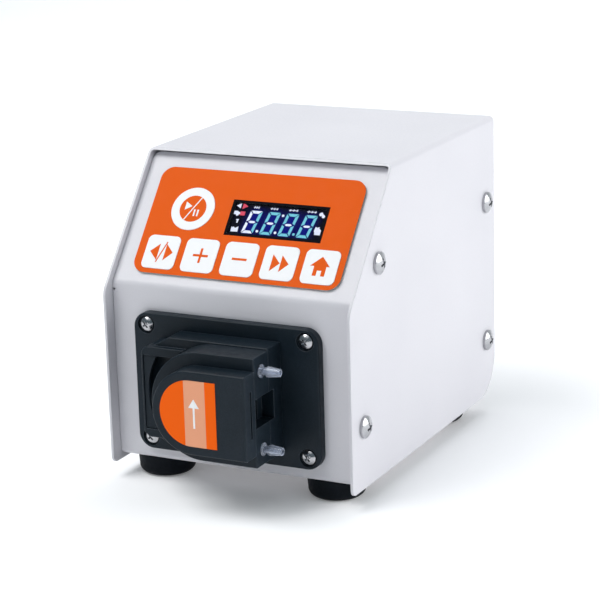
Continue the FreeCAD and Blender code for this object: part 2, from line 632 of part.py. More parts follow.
def head_block():
    lo, hi = AXIS_Z - BLOCK_HALF_H, AXIS_Z + BLOCK_HALF_H
    c0, c1 = AXIS_Z - BLOCK_CHAMFER_Z, AXIS_Z + BLOCK_CHAMFER_Z
    main = prism_xz([(BLOCK_RIGHT, lo), (BLOCK_RIGHT, hi), (BLOCK_CHAMFER_X, hi), (BLOCK_LEFT, c1),
                     (BLOCK_LEFT, c0), (BLOCK_CHAMFER_X, lo)], [0.6, 0.6, 2.0, 0, 0, 2.0], BLOCK_Y, PLATE_Y)
    main = fillet_front(main, BLOCK_Y, 0.5)
    wing = prism_xz(rect(WING_LEFT, -12.0, AXIS_Z - WING_HALF_H, AXIS_Z + WING_HALF_H), [3.8, 0, 0, 3.8],
                    WING_Y, PLATE_Y)
    wing = fillet_front(wing, WING_Y, 0.5)
    block = main.fuse(wing).removeSplitter()
    z0, z1 = AXIS_Z - WING_HALF_H + WING_WALL, AXIS_Z + WING_HALF_H - WING_WALL
    pocket = prism_xz(rect(WING_LEFT + WING_RIM, -20.0, z0, z1), [0.4, 0, 0, 0.4], WING_Y - 1, -0.8)
    tools = [pocket, axis_rod(CASS_R + 0.3, WING_Y - 1, BLOCK_Y)]
    # bearing seat, hub recess and shaft bore
    bearing_end = HEAD_BEARING_Y + BEARING_LEN
    tools.append(axis_rod(BEARING_R - 1.0, BLOCK_Y - 1, HEAD_BEARING_Y))
    tools.append(axis_rod(BEARING_R + 0.02, HEAD_BEARING_Y, bearing_end))
    tools.append(axis_rod(4.0, bearing_end, PLATE_Y + 1))
    # side window behind the cassette and the latch pin's holes
    tools.append(box(20.0, BLOCK_RIGHT + 1, BLOCK_Y - 1, -5.0, *SIDE_WINDOW_Z))
    tools.append(rod(LATCH_PIN_R + 0.02, (LATCH_X, LATCH_Y, z0 - 1.0), (0, 0, 1), z1 - z0 + 2.0))
    return block.cut(tools)


def plate_fasteners():
    screw = pan_screw(PLATE_SCREW_HEAD_R, 2.3, 1.75, 9.0, 35)
    screws = []
    nuts = []
    for sx, sz in CORNERS:
        screws.append(aim(screw, plate_corner(sx, sz, PLATE_Y + 1.4), (0, -1, 0)))
        nut = hex_prism(6.0, plate_corner(sx, sz, PANEL_Y + SHEET_T), (0, 1, 0), 2.8)
        nuts.append(nut.cut(rod(1.78, plate_corner(sx, sz, PANEL_Y), (0, 1, 0), 8)))
    keep("plate_screws", group(screws))
    return nuts


def thumb_latch():
    z0, z1 = AXIS_Z - WING_HALF_H + WING_WALL + 0.25, AXIS_Z + WING_HALF_H - WING_WALL - 0.25
    cx, cy = LATCH_CENTRE
    outer = rod(LATCH_R + LATCH_T, (cx, cy, z0), (0, 0, 1), z1 - z0)
    inner = rod(LATCH_R, (cx, cy, z0 - 1), (0, 0, 1), z1 - z0 + 2)
    quarter = box(cx - 20, cx, cy + 0.5, cy + 20, z0, z1)
    shell = outer.cut(inner).common(quarter)
    tail = box(cx, cx + 5.5, cy + LATCH_R, cy + LATCH_R + LATCH_T, z0, z1)
    knuckle = rod(LATCH_KNUCKLE_R, (LATCH_X, LATCH_Y, z0), (0, 0, 1), z1 - z0)
    lip = box(cx - LATCH_R - 1.0, cx, cy + 0.5, cy + 2.0, z0, z1)
    lip = lip.cut(axis_rod(LATCH_ARC_R, WING_Y - 5, 10))
    lever = shell.fuse([tail, knuckle, lip]).removeSplitter()
    lever = lever.cut(axis_rod(26.3, WING_Y - 5, 10))
    return lever.cut(rod(LATCH_PIN_R + RUN, (LATCH_X, LATCH_Y, z0 - 1), (0, 0, 1), z1 - z0 + 2))


def latch_pin():
    z0, z1 = AXIS_Z - WING_HALF_H + WING_WALL, AXIS_Z + WING_HALF_H - WING_WALL
    return rod(LATCH_PIN_R, (LATCH_X, LATCH_Y, z0 - 0.9), (0, 0, 1), z1 - z0 + 1.8)


# ---- pump head, turning ----
def rotor():
    back, front = HUB_Y[1], HUB_Y[0]
    shaft_front = front + 0.3
    shaft = axis_rod(SHAFT_R, shaft_front, MOTOR_Y + 43.5)
    shaft = shaft.cut(box(-3, 3, shaft_front - 1, back - 0.5, AXIS_Z + SHAFT_R - 0.5, AXIS_Z + 3))
    keep("drive_shaft", shaft)
    hub = axis_rod(HUB_R, back - 1.5, back)
    hub = hub.fuse([axis_rod(HUB_R, front, front + 2.0), axis_rod(6.0, front, back),
                    axis_rod(HUB_PIN_R, front - 5.0, front)]).removeSplitter()
    bore = axis_rod(SHAFT_R + 0.02, front + 0.1, back + 0.5)
    bore = bore.cut(box(-3, 3, front, back - 0.5, AXIS_Z + SHAFT_R - 0.48, AXIS_Z + 3))
    hub = hub.cut(bore)
    orbit = ORBIT_R - ROLLER_R
    pins = []
    for i in range(ROLLER_N):
        a = math.radians(ROLLER_FIRST + i * 360.0 / ROLLER_N)
        between = a + math.radians(180.0 / ROLLER_N)
        x = orbit * math.cos(a)
        z = AXIS_Z + orbit * math.sin(a)
        pins.append(rod(PIN_R, (x, front + 0.5, z), (0, 1, 0), 13.6))
        hub = hub.cut(rod(PIN_R + 0.01, (x, front - 1, z), (0, 1, 0), 20))
        relief = (10.6 * math.cos(between), front - 1, AXIS_Z + 10.6 * math.sin(between))
        hub = hub.cut(rod(4.0, relief, (0, 1, 0), 20))
        roller = rod(ROLLER_R, (x, ROLLER_Y, z), (0, 1, 0), ROLLER_LEN)
        keep("roller_%d" % (i + 1), roller.cut(rod(PIN_R + RUN, (x, front, z), (0, 1, 0), 20)))
    keep("rotor_hub", hub)
    keep("roller_pins", group(pins))


# ---- cassette ----
def cassette_body():
    body = d_shape(CASS_R, BLOCK_RIGHT, CASS_Y, BLOCK_Y)
    body = fillet_front(body, CASS_Y, 0.6)
    tools = [axis_rod(ORBIT_R + 0.08, CASS_Y - 1, BLOCK_Y + 1)]
    y0, y1 = TUBE_Y - 4.7, TUBE_Y + 4.7
    track = axis_rod(TRACK_R, y0, y1)
    tools.append(track.common(box(-30, 0, y0, y1, 0, 90)))
    legs = box(-0.01, 21.5, y0, y1, AXIS_Z - TRACK_R, AXIS_Z + TRACK_R)
    tools.append(legs.cut(box(-1, 22, y0 - 1, y1 + 1, AXIS_Z - 13.9, AXIS_Z + 13.9)))
    for side in (-1, 1):
        z = AXIS_Z + side * TUBE_LEG
        tools.append(rod(TUBE_R + 0.05, (21.4, TUBE_Y, z), (1, 0, 0), 2.65))
        tools.append(rod(2.45, (23, TUBE_Y, z), (1, 0, 0), 5))
    # side window and screw holes
    tools.append(box(12.0, BLOCK_RIGHT + 1, CASS_Y + 0.8, BLOCK_Y + 1, *SIDE_WINDOW_Z))
    for x, z in CASS_SCREWS:
        tools.append(rod(2.25, (x, BLOCK_Y - 2.1, z), (0, 1, 0), 4))
        tools.append(rod(1.2, (x, CASS_Y - 1, z), (0, 1, 0), 20))
    return body.cut(tools)


def cassette_cap():
    cap = d_shape(CAP_R, CAP_RIGHT, CAP_Y, CASS_Y)
    cap = fillet_front(cap, CAP_Y, 0.8)
    cap = cap.cut([axis_rod(17.0, CAP_Y + 2.3, CASS_Y + 1)])
    cap = cap.fuse([tube(ORBIT_R + 0.03, 16.9, (0, CASS_Y, AXIS_Z), (0, 1, 0), 1.2),
                    axis_rod(7.0, CAP_Y + 2.2, -25.2)]).removeSplitter()
    tools = [axis_rod(BUSH_R + 0.02, BUSH_Y[0], CASS_Y + 2)]
    tools.append(box(CAP_RIGHT - 1.0, CAP_RIGHT + 1, -26.6, -25.3, AXIS_Z - 10.2, AXIS_Z + 10.8))
    for x, z in CASS_SCREWS:
        tools.append(rod(1.12, (x, -29.0, z), (0, 1, 0), 8))
    return cap.cut(tools)


def cassette_trim():
    bush = axis_rod(BUSH_R, BUSH_Y[0] + 0.02, BUSH_Y[1])
    bush = bush.cut(axis_rod(HUB_PIN_R + RUN, CAP_Y, CASS_Y))
    keep("cassette_bushing", bush)
    screw = rod(2.1, (0, 0, 0), (0, 0, 1), 1.7).cut(hex_prism(2.0, (0, 0, 0.7), (0, 0, 1), 1.2))
    screw = screw.fuse(rod(1.1, (0, 0, -17.0), (0, 0, 1), 17.0)).removeSplitter()
    keep("cassette_screws", group([aim(screw, (x, BLOCK_Y - 2.0, z), (0, 1, 0)) for x, z in CASS_SCREWS]))
    label = d_shape(LABEL_R, LABEL_RIGHT, HEAD_FRONT, CAP_Y)
    b0, b1 = BAND_X
    strip = box(b0, b1, HEAD_FRONT, CAP_Y, AXIS_Z - 20, AXIS_Z + 20)
    keep("cassette_label", label.cut(strip))
    keep("label_band", label.common(strip))


def tube_section(x, middle, thick, width):
    """Rounded section of the tube in the plane of constant x, its middle at height middle."""
    w, t = width / 2, thick / 2
    corners = [V(x, TUBE_Y - w, middle - t), V(x, TUBE_Y + w, middle - t),
               V(x, TUBE_Y + w, middle + t), V(x, TUBE_Y - w, middle + t)]
    return rounded_face(corners, t * 0.98)


def pump_tube():
    """Pump tube: round legs, pressed flat against the track all round the rollers' sweep."""
    inner = ORBIT_R + 0.08
    thick = TUBE_LEG + TUBE_R - inner
    orbit = axis_rod(inner, TUBE_Y - 6, TUBE_Y + 6)
    pieces = []
    for side in (-1, 1):
        section = tube_section(0, AXIS_Z + side * (inner + thick / 2), thick, FLAT_W)
        pieces.append(section.revolve(V(0, 0, AXIS_Z), V(0, 1, 0), -90 * side))
        end = tube_section(TUBE_ROUND_X, AXIS_Z + side * TUBE_LEG, 2 * TUBE_R, 2 * TUBE_R)
        blend = Part.makeLoft([section.OuterWire, end.OuterWire], True, True)
        pieces.append(blend.cut(orbit))
        leg = tube(TUBE_R, TUBE_BORE_R, (TUBE_ROUND_X, TUBE_Y, AXIS_Z + side * TUBE_LEG), (1, 0, 0),
                   24.0 - TUBE_ROUND_X)
        pieces.append(leg)
    return pieces[0].fuse(pieces[1:])


def connector(side):
    z = AXIS_Z + side * TUBE_LEG
    ax = (1, 0, 0)
    parts = [rod(TUBE_BORE_R - 0.03, (18.0, TUBE_Y, z), ax, 6.1),
             rod(2.4, (24.05, TUBE_Y, z), ax, 2.05),
             rod(2.9, (26.1, TUBE_Y, z), ax, 0.5),
             cone(2.9, 1.9, (26.6, TUBE_Y, z), ax, 0.4),
             rod(1.7, (26.1, TUBE_Y, z), ax, 3.5),
             cone(1.7, BARB_R, (29.3, TUBE_Y, z), ax, 0.2),
             rod(BARB_R, (BARB_X, TUBE_Y, z), ax, BARB_LAND),
             cone(BARB_R, 1.72, (BARB_X + BARB_LAND, TUBE_Y, z), ax, 5.0)]
    body = parts[0].fuse(parts[1:]).removeSplitter()
    return body.cut(rod(1.05, (17, TUBE_Y, z), ax, 25))


# ---- drive ----
def motor():
    half = MOTOR_HALF
    cut = half - MOTOR_CUT
    face = rect(-half, half, AXIS_Z - half, AXIS_Z + half)
    octagon = [(-half, -cut), (-cut, -half), (cut, -half), (half, -cut),
               (half, cut), (cut, half), (-cut, half), (-half, cut)]
    octagon = [(x, AXIS_Z + z) for x, z in octagon]
    y0 = MOTOR_Y
    y1 = y0 + FLANGE_LEN
    y2 = y1 + STATOR_LEN
    y3 = y2 + BELL_LEN
    flange = prism_xz(face, 4.0, y0, y1).fuse(axis_rod(PILOT_R, y0 - 2.0, y0)).removeSplitter()
    stator = prism_xz(octagon, 0, y1, y2).cut(axis_rod(12.4, y1 - 1, y2 + 1))
    bell = prism_xz(face, 4.0, y2, y3)
    front_bearing = y0 + 1.0
    rear_bearing = y2 + 2.0
    seat_r = BEARING_R + 0.02
    flange = flange.cut([axis_rod(seat_r, front_bearing, y1 + 1), axis_rod(3.2, y0 - 3, y0 + 2)])
    bell = bell.cut([axis_rod(seat_r, y2 - 1, rear_bearing + BEARING_LEN + 0.2), axis_rod(3.2, y2, y3 - 2.0)])
    screws = []
    screw = pan_screw(2.75, 2.3, 1.5, 9.0, 0)
    for sx, sz in CORNERS:
        flange = flange.cut(rod(1.52, motor_corner(sx, sz, y0 - 1), (0, 1, 0), 7.6))
        screws.append(aim(screw, motor_corner(sx, sz, PLATE_Y + 3.0), (0, -1, 0)))
    bearings = []
    for start in (HEAD_BEARING_Y, front_bearing, rear_bearing):
        ring = axis_rod(BEARING_R, start + 0.02, start + BEARING_LEN)
        bearings.append(ring.cut(axis_rod(SHAFT_R + RUN, start - 1, start + BEARING_LEN + 1)))
    armature = axis_rod(12.1, y1 + 2.0, y2 - 3.0).cut(axis_rod(SHAFT_R + 0.01, y1, y2))
    keep("motor_flange", flange)
    keep("motor_stator", stator)
    keep("motor_bell", bell)
    keep("motor_screws", group(screws))
    keep("shaft_bearings", group(bearings))
    keep("armature", armature)


# ---- electronics ----
def electronics():
    """Control board and what stands on it; returns the board's standoffs."""
    base_top = BASE_Z + SHEET_T
    top = BOARD_Z + BOARD_T
    board = prism_xy(rect(-48, 48, 66, 140), 2.0, BOARD_Z, top)
    posts = []
    for x, y in BOARD_HOLES:
        board = board.cut(rod(M3_HOLE_R, (x, y, BOARD_Z - 1), (0, 0, 1), 4))
        seat = base_top + (SHEET_T if y > 112 else 0)
        post = hex_prism(5.5, (x, y, seat), (0, 0, 1), BOARD_Z - seat)
        posts.append(post.fuse(rod(1.5, (x, y, BOARD_Z), (0, 0, 1), 3.4)).removeSplitter())
    keep("control_board", board)
    chips = []
    for x0, x1, y0, y1, height in CHIPS:
        chips.append(box(x0, x1, y0, y1, top, top + height))
    keep("board_chips", group(chips))
    caps = []
    for x, y in CAPACITORS:
        can = rod(CAPACITOR_R, (x, y, top), (0, 0, 1), CAPACITOR_H)
        can = can.makeFillet(0.8, [e for e in can.Edges if abs(e.BoundBox.ZMin - top - CAPACITOR_H) < 1e-4])
        groove = tube(CAPACITOR_R + 0.2, CAPACITOR_R - 0.4, (x, y, top + 2.0), (0, 0, 1), 0.8)
        caps.append(can.cut(groove))
    keep("capacitors", group(caps))
    sink = box(6, 40, 92, 95, top, top + 26)
    for i in range(FIN_N):
        x = 6 + i * FIN_PITCH
        sink = sink.fuse(box(x, x + 1.6, 80, 92.5, top + 4, top + 26))
    keep("heat_sink", sink.removeSplitter())
    blocks = []
    for x in TERMINAL_XS:
        block = box(x, x + 20, 128, 137, top, top + 11)
        for i in range(4):
            way = x + 1.0 + i * 4.95
            block = block.cut(rod(1.7, (way + 1.6, 132.5, top + 8), (0, 0, 1), 5))
            block = block.cut(box(way, way + 3.2, 134, 138, top + 2, top + 5.5))
        blocks.append(block)
    keep("terminal_blocks", group(blocks))
    return posts


def wiring():
    motor_end = MOTOR_Y + FLANGE_LEN + STATOR_LEN + BELL_LEN + 0.4
    jack_in = (JACK_X - 2, 147.0, JACK_Z)
    jack_out = (JACK_X + 2, 147.0, JACK_Z)
    switch_in = (SWITCH_X + 2, 145.4, SWITCH_Z)
    switch_out = (SWITCH_X - 2, 145.4, SWITCH_Z + 4)
    plug = (CONN_X, 149.8, CONN_Z)
    feed = [jack_in, (JACK_X - 2, 143.0, JACK_Z - 2), (-36.4, 141.5, 24.0), (-36.4, 139.0, 18.0)]
    link = [jack_out, (JACK_X + 2, 144.0, JACK_Z + 14), (SWITCH_X + 2, 144.0, SWITCH_Z - 2), switch_in]
    back = [switch_out, (SWITCH_X - 2, 141.0, SWITCH_Z - 2), (-31.4, 141.5, 26.0), (-31.4, 139.0, 18.0)]
    panel = [(18, 40.5, 94.5), (18, 52, 84.0), (46, 66, 60.0), (46, 100, 26.0), (36, 106, 15.2)]
    control = [plug, (CONN_X, 145.5, CONN_Z - 4), (20, 144.0, 30.0), (18.5, 139.0, 18.0)]
    runs = [wire_run(feed, 0.9), wire_run(link, 0.9), wire_run(back, 0.9), wire_run(panel, 1.1),
            wire_run(control, 1.6)]
    for i, x in enumerate((8, 11)):
        run = [(x, motor_end, AXIS_Z - 12), (x, 60 + i, AXIS_Z - 14), (x - 2, 72 + i, 20.0),
               (x - 16, 76 + i, 16.2), (x - 16, 77.6 + i, 15.2)]
        runs.append(wire_run(run, 0.8))
    keep("wiring", group(runs))


# ---- rear ----
def connector_outline(grow):
    """D-shaped outline of the nine-way control connector."""
    low = 7.4 + grow
    high = 8.5 + grow
    h = 4.2 + grow
    return [(CONN_X - low, CONN_Z - h), (CONN_X + low, CONN_Z - h),
            (CONN_X + high, CONN_Z + h), (CONN_X - high, CONN_Z + h)]


def rear_parts():
    # rocker switch: body with flange, and the paddle that tips about X
    flange = rect(SWITCH_X - 7.5, SWITCH_X + 7.5, SWITCH_Z - 10.6, SWITCH_Z + 10.6)
    flange = prism_xz(flange, 1.2, REAR_Y, REAR_Y + 1.8)
    barrel = box(SWITCH_X - 6.45, SWITCH_X + 6.45, REAR_Y - 16, REAR_Y + 0.1, SWITCH_Z - 9.5, SWITCH_Z + 9.5)
    blades = []
    for z in (SWITCH_Z - 6, SWITCH_Z + 6):
        blades.append(box(SWITCH_X - 2.4, SWITCH_X + 2.4, REAR_Y - 17.3, REAR_Y - 15.9, z - 0.4, z + 0.4))
    body = flange.fuse([barrel] + blades).removeSplitter()
    cavity = box(SWITCH_X - 5.4, SWITCH_X + 5.4, REAR_Y - 8.5, REAR_Y + 3, SWITCH_Z - 8.85, SWITCH_Z + 8.85)
    pivot_y = REAR_Y - ROCKER_DEPTH
    hole = rod(1.0 + RUN, (SWITCH_X - 6.1, pivot_y, SWITCH_Z), (1, 0, 0), 12.2)
    keep("switch_body", body.cut([cavity, hole]))
    paddle = prism_yz([(pivot_y - 5, SWITCH_Z - 4), (pivot_y + 3.2, SWITCH_Z - 8), (pivot_y + 4.2, SWITCH_Z),
                       (pivot_y + 3.2, SWITCH_Z + 8), (pivot_y - 5, SWITCH_Z + 4)], [0.8, 0.6, 0, 0.6, 0.8],
                      SWITCH_X - 5.2, SWITCH_X + 5.2)
    paddle = paddle.fuse(rod(1.0, (SWITCH_X - 6.0, pivot_y, SWITCH_Z), (1, 0, 0), 12.0)).removeSplitter()
    paddle.rotate(V(SWITCH_X, pivot_y, SWITCH_Z), V(1, 0, 0), -ROCKER_TILT)
    keep("switch_rocker", paddle)
    # DC jack
    jack = rod(4.0, (JACK_X, REAR_Y - 15, JACK_Z), (0, 1, 0), 18.0)
    jack = jack.fuse(rod(5.5, (JACK_X, REAR_Y - SHEET_T - 2.6, JACK_Z), (0, 1, 0), 2.6))
    jack = jack.cut(rod(2.75, (JACK_X, REAR_Y - 9, JACK_Z), (0, 1, 0), 20))
    jack = jack.fuse(rod(1.0, (JACK_X, REAR_Y - 9.5, JACK_Z), (0, 1, 0), 11.5)).removeSplitter()
    nut = hex_prism(11.0, (JACK_X, REAR_Y, JACK_Z), (0, 1, 0), 2.2)
    keep("dc_jack", group([jack, nut.cut(rod(4.03, (JACK_X, REAR_Y - 1, JACK_Z), (0, 1, 0), 6))]))
    # control connector: shell, insert and two jack posts
    inside = REAR_Y - SHEET_T
    outline = rect(CONN_X - 15.4, CONN_X + 15.4, CONN_Z - 6.2, CONN_Z + 6.2)
    plate = prism_xz(outline, 1.0, inside - 1.0, inside)
    shell = plate.fuse(prism_xz(connector_outline(0), 0.9, inside - 10.5, inside + 5.0)).removeSplitter()
    shell = shell.cut(prism_xz(connector_outline(-0.5), 0.6, inside - 11, inside + 6))
    insert = prism_xz(connector_outline(-0.52), 0.6, inside - 10.4, inside + 4.2)
    for row, count in ((1.4, 5), (-1.4, 4)):
        for i in range(count):
            x = CONN_X + (i - (count - 1) / 2) * 2.7
            insert = insert.cut(rod(0.55, (x, inside - 1, CONN_Z + row), (0, 1, 0), 6))
    posts = []
    for side in (-1, 1):
        x = CONN_X + side * POST_X
        shell = shell.cut(rod(1.6, (x, inside - 3, CONN_Z), (0, 1, 0), 6))
        post = hex_prism(4.8, (x, REAR_Y, CONN_Z), (0, 1, 0), REAR_MOST - REAR_Y)
        post = post.fuse(rod(1.5, (x, REAR_Y - 8, CONN_Z), (0, 1, 0), 8.1)).removeSplitter()
        posts.append(post.cut(rod(1.2, (x, REAR_MOST - 3.5, CONN_Z), (0, 1, 0), 5)))
    keep("control_connector", shell)
    keep("connector_insert", insert)
    keep("jack_posts", group(posts))


keep("cover", cover())
keep("chassis", chassis())
keep("rear_panel", rear_panel())
keep("press_nuts", group(cover_fasteners() + feet() + plate_fasteners()))
keypad()
keep("head_plate", head_plate())
keep("head_block", head_block())
keep("thumb_latch", thumb_latch())
keep("latch_pin", latch_pin())
rotor()
keep("cassette_body", cassette_body())
keep("cassette_cap", cassette_cap())
cassette_trim()
keep("pump_tube", pump_tube())
keep("connector_upper", connector(1))
keep("connector_lower", connector(-1))
motor()
keep("standoffs", group(electronics() + display()))
wiring()
rear_parts()

os.makedirs("parts", exist_ok=True)
for name, shape in NODES.items():
    shape.exportStep("parts/%s.step" % name)
    state = "ok" if shape.isValid() else "INVALID"
    print("%-20s solids %2d  volume %9.1f  %s" % (name, len(shape.Solids), shape.Volume, state))
whole = Part.makeCompound(list(NODES.values())).BoundBox
print("nodes", len(NODES), "box", whole)
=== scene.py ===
import json
import math
import bmesh
import bpy
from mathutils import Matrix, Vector


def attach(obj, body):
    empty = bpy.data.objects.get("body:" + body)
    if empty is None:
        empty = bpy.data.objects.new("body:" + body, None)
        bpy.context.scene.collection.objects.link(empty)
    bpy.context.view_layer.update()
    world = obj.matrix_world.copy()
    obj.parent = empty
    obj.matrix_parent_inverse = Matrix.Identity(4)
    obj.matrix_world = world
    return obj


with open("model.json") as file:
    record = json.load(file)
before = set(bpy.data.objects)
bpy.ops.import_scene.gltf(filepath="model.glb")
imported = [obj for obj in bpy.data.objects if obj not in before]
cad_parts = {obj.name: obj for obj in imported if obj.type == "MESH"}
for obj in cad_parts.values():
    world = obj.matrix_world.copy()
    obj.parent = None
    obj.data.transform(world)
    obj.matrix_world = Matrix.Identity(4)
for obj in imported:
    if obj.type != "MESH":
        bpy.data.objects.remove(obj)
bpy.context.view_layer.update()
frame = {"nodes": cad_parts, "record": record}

NODES = frame["nodes"]
MM = 0.001
scene = bpy.context.scene

# ---- dimensions shared with the CAD source, in millimetres ----
ROW_Y = -68.0                # the case's front face and underside in the part's frame
ROW_Z = 7.2
CASE_H = 136.0
BEND_Z = 80.08               # height where the slope starts
SLOPE_Y = 46.65              # setback of the top's front edge
PANEL_INSET = 3.0
SLOPE_ANGLE = math.atan2(CASE_H - BEND_Z, SLOPE_Y)
SLOPE_COS = math.cos(SLOPE_ANGLE)
SLOPE_SIN = math.sin(SLOPE_ANGLE)
SLOPE_ORIGIN = Vector((0, PANEL_INSET * SLOPE_SIN + ROW_Y, BEND_Z - PANEL_INSET * SLOPE_COS + ROW_Z))
SLOPE_UP = Vector((0, SLOPE_COS, SLOPE_SIN))
SLOPE_OUT = Vector((0, -SLOPE_SIN, SLOPE_COS))
ACROSS = Vector((1, 0, 0))
KEY_TOP = 1.35               # over the slope
KEY_V = 22.1                 # up the slope
KEYS = {"key_direction": -38.45, "key_plus": -18.95, "key_minus": 0.55, "key_fast": 20.05, "key_home": 39.55}
START = (-29.5, 44.4)
WINDOW_X, WINDOW_V = 12.7, 41.95
CLEAR_HALF_X, CLEAR_HALF_V = 22.2, 7.5    # the window inside its dark border
DIGIT_X0 = 0.4               # middle of the first digit
DIGIT_PITCH = 8.9
DIGIT_V = 41.0
DIGIT_SLANT = 0.185
LABEL_Y = -32.0 + ROW_Y      # the label is the frontmost face
AXIS_Z = 40.2 + ROW_Z
PRINT_SINK, PRINT_HEIGHT = 0.02, 0.04     # how far printed shapes reach into and out of what they lie on

# ---- camera, in degrees and millimetres ----
CAMERA_AZIMUTH = 26.864
CAMERA_ELEVATION = 15.225
CAMERA_ROLL = -1.668
CAMERA_LENS = 128.69
SENSOR_WIDTH = 36.0
CAMERA_AIM = Vector((0, 2.0, 87.2))
CAMERA_RIGHT, CAMERA_UP, CAMERA_BACK = 2.09, -15.709, 979.556    # from the aim, along the camera's own axes
NEAR_CLIP, FAR_CLIP = 0.05, 20.0          # metres

# ---- colours and finishes ----
ORANGE = (0.79, 0.108, 0.006)
CHARCOAL = (0.0048, 0.0102, 0.0155)
NAVY, NAVY_PALE = (0.0006, 0.0008, 0.003), (0.001, 0.0012, 0.005)
UNLIT = (0.02, 0.02, 0.03, 1)
LABEL_GLOW = 0.18            # emission that lifts the label above the light that falls on it
FLAT_COS, EDGE_COS = 0.995, 0.85          # rounded against true normal, on a flat and on an edge
MOULD_SCALE = 2200           # noise scale of the plastic's fine texture
MOULD_EDGE = 0.0005          # metres
METAL_EDGE = 0.0002

# ---- stage and lights, in metres ----
FLOOR_HALF = 3.0
SWEEP_START, SWEEP_RADIUS, SWEEP_STEPS = 1.2, 0.9, 24
WALL_TOP = 3.2
FLOOR_GLOW = 0.13
WORLD_COLOUR = (0.68, 0.89, 1.0, 1)
WORLD_LIGHT = 0.2
LIGHTS = (                   # name, place, aim, size, power
    ("key_right", (1.5, 0.45, 0.6), (0, 0, 0.07), (1.2, 1.0), 18.0),
    ("overhead", (-0.05, -0.5, 1.55), (0, 0, 0.08), (1.2, 1.0), 2.0),
    ("panel_sheen", (-0.6, -0.55, 1.45), (0, 0, 0.08), (1.1, 0.9), 18.5),
    ("front_high", (-0.1, -1.1, 1.35), (0, 0, 0.08), (1.2, 0.9), 2.0),
    ("backdrop", (-0.6, 0.8, 1.2), (-0.6, 1.5, 0.1), (1.6, 0.7), 9.0),
)


def make_camera():
    azimuth = math.radians(CAMERA_AZIMUTH)
    elevation = math.radians(CAMERA_ELEVATION)
    roll = math.radians(CAMERA_ROLL)
    right = Vector((math.cos(azimuth), math.sin(azimuth), 0))
    back = Vector((math.sin(azimuth) * math.cos(elevation),
                   -math.cos(azimuth) * math.cos(elevation),
                   math.sin(elevation)))
    up = back.cross(right)
    x_axis = right * math.cos(roll) + up * math.sin(roll)
    y_axis = up * math.cos(roll) - right * math.sin(roll)
    data = bpy.data.cameras.new("camera")
    data.lens = CAMERA_LENS
    data.sensor_width = SENSOR_WIDTH
    data.clip_start = NEAR_CLIP
    data.clip_end = FAR_CLIP
    cam = bpy.data.objects.new("camera", data)
    scene.collection.objects.link(cam)
    place = (CAMERA_AIM + x_axis * CAMERA_RIGHT + y_axis * CAMERA_UP + back * CAMERA_BACK) * MM
    matrix = cam.matrix_world.copy()
    for row in range(3):
        matrix[row][0] = x_axis[row]
        matrix[row][1] = y_axis[row]
        matrix[row][2] = back[row]
        matrix[row][3] = place[row]
    cam.matrix_world = matrix
    scene.camera = cam


